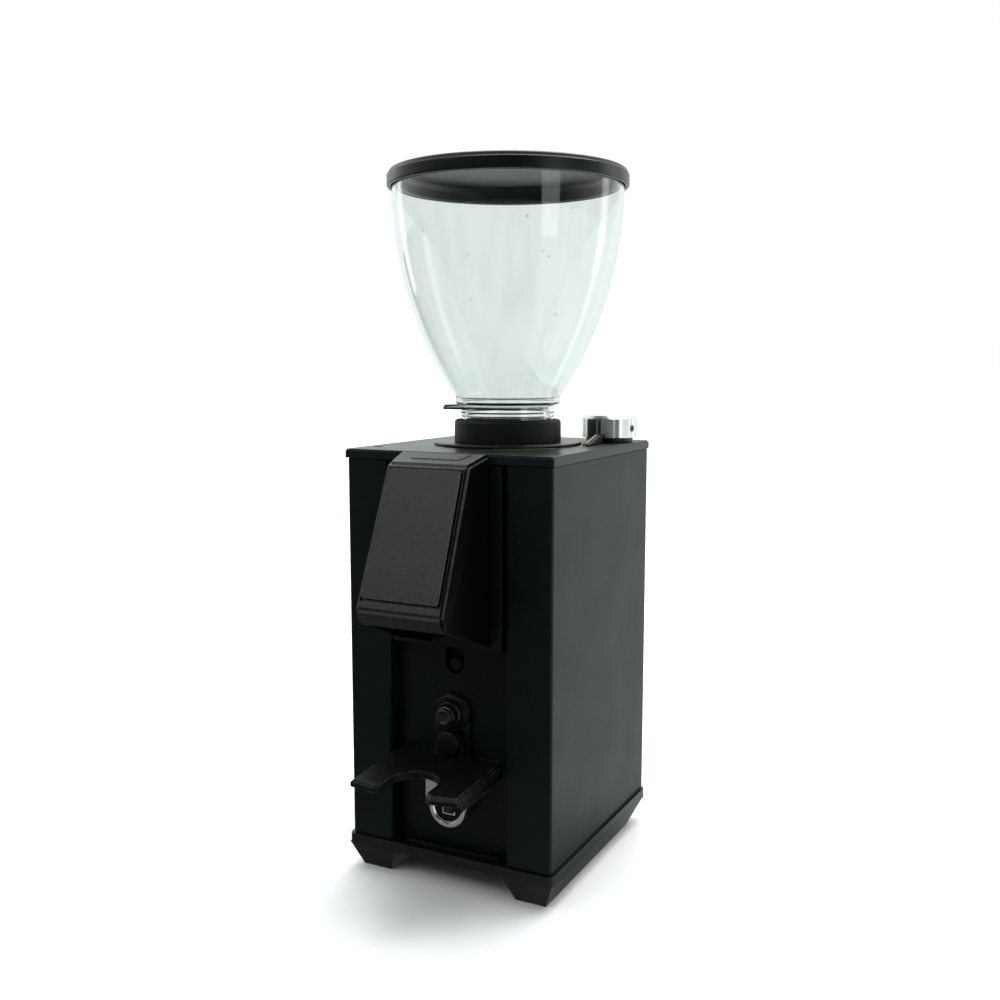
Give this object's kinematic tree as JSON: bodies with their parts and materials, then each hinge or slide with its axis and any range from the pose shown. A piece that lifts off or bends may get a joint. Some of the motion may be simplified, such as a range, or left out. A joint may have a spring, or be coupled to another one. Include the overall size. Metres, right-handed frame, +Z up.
{
  "type": "burr coffee grinder",
  "caption": "Black upright burr coffee grinder with a clear flared hopper and lid, a sloped spout cover, a portafilter fork with a start button, and a side grind knob.",
  "frame": {"origin": "middle of the bounding box at the surface the grinder stands on", "axes": "+Z up, -Y is the front with the spout and fork, +X is to the right of someone who faces the front, where the grind knob is"},
  "size_m": [0.132, 0.1826, 0.3808],
  "materials": {
    "powder_coat": "satin black powder coat with a fine orange peel",
    "black_plastic": "black moulded plastic, satin",
    "grained_plastic": "dark grey-black moulded plastic with a fine spark grain",
    "black_rubber": "matte black rubber",
    "clear_plastic": "clear, slightly cool polycarbonate, polished",
    "turned_aluminium": "fine turned, bright",
    "cast_aluminium": "as cast",
    "stainless": "satin stainless sheet",
    "steel": "plain machined steel",
    "burr_steel": "hardened, ground cutting steel",
    "copper_wire": "enamelled copper winding",
    "brass": "plain turned brass",
    "pale_plastic": "pale grey capacitor can",
    "board_green": "green circuit board"
  },
  "bodies": {
    "housing": {"adjust_bush": "black_plastic", "base": "black_plastic", "bearing_lower": "steel", "bearing_upper": "steel", "button_boot": "black_rubber", "capacitor": "pale_plastic", "collar_flange": "black_plastic", "control_board": "board_green", "end_bell_lower": "cast_aluminium", "end_bell_upper": "cast_aluminium", "fork_mount": "black_plastic", "front_crossbar": "powder_coat", "front_panel": "powder_coat", "grind_chamber": "cast_aluminium", "hopper_collar": "black_rubber", "knob_pointer": "black_plastic", "lever_bracket": "steel", "lever_pin": "steel", "micro_switch": "black_plastic", "motor_mount_plate": "steel", "outlet_chute": "black_plastic", "panel_pin": "powder_coat", "power_inlet": "black_plastic", "power_switch_body": "black_plastic", "rear_panel": "powder_coat", "side_shell_left": "powder_coat", "side_shell_right": "powder_coat", "spout_backplate": "powder_coat", "spout_cover": "grained_plastic", "spout_front_panel": "grained_plastic", "stator_core": "steel", "top_plate": "powder_coat", "top_screw_front_left": "steel", "top_screw_front_right": "steel", "top_screw_rear_left": "steel", "top_screw_rear_right": "steel", "upper_burr": "burr_steel", "upper_burr_carrier": "cast_aluminium", "winding_lower": "copper_wire", "winding_upper": "copper_wire"},
    "hopper": {"hopper": "clear_plastic"},
    "lid": {"hopper_lid": "black_plastic"},
    "gate": {"slide_gate": "black_plastic"},
    "adjuster": {"adjust_knob": "turned_aluminium", "knob_set_screw": "brass", "adjust_screw": "steel"},
    "nut": {"adjust_nut": "brass"},
    "lever": {"adjust_lever": "steel"},
    "rotor": {"drive_shaft": "steel", "rotor_core": "steel", "lower_burr": "burr_steel", "lower_burr_carrier": "steel", "cooling_fan": "black_plastic"},
    "start_button": {"start_button": "black_plastic"},
    "fork": {"fork": "powder_coat", "hook_plate": "stainless"},
    "fork_clamp": {"fork_clamp_knob": "black_plastic"},
    "rocker": {"power_rocker": "black_plastic"}
  },
  "joints": [
    {"name": "hopper_lift", "type": "slide", "parent": "housing", "child": "hopper", "axis": [0, 0, 1], "range_m": [0, 0.04]},
    {"name": "lid_lift", "type": "slide", "parent": "hopper", "child": "lid", "axis": [0, 0, 1], "range_m": [0, 0.06]},
    {"name": "gate_slide", "type": "slide", "parent": "hopper", "child": "gate", "axis": [-1, 0, 0], "range_m": [0, 0.042]},
    {"name": "knob_turn", "type": "hinge", "parent": "housing", "child": "adjuster", "pos_m": [0.0435, 0.06965, 0.2342], "axis": [0, 0, 1], "range_deg": [-270, 270]},
    {"name": "nut_travel", "type": "slide", "parent": "housing", "child": "nut", "axis": [0, 0, 1], "range_m": [-0.0012, 0.0012]},
    {"name": "lever_tilt", "type": "hinge", "parent": "housing", "child": "lever", "pos_m": [-0.02099, 0.00382, 0.162], "axis": [-0.7144, 0.6998, 0], "range_deg": [-0.75, 0.75]},
    {"name": "motor_spin", "type": "hinge", "parent": "housing", "child": "rotor", "pos_m": [0, 0.02525, 0.024], "axis": [0, 0, 1], "continuous": true},
    {"name": "start_button_press", "type": "slide", "parent": "housing", "child": "start_button", "axis": [0, 1, 0], "range_m": [0, 0.0035], "stiffness_N_per_m": 400, "springref_m": -0.002},
    {"name": "fork_height", "type": "slide", "parent": "housing", "child": "fork", "axis": [0, 0, 1], "range_m": [-0.008, 0]},
    {"name": "fork_clamp_turn", "type": "hinge", "parent": "fork", "child": "fork_clamp", "pos_m": [0, -0.04655, 0.079], "axis": [0, -1, 0], "range_deg": [-270, 0]},
    {"name": "power_rocker_tilt", "type": "hinge", "parent": "housing", "child": "rocker", "pos_m": [0.03, 0.08665, 0.042], "axis": [1, 0, 0], "range_deg": [-14, 0]}
  ],
  "couplings": [
    {"joint": "nut_travel", "follows": "knob_turn", "m_per_rad": -0.0002387},
    {"joint": "lever_tilt", "follows": "knob_turn", "ratio": 0.00259}
  ]
}
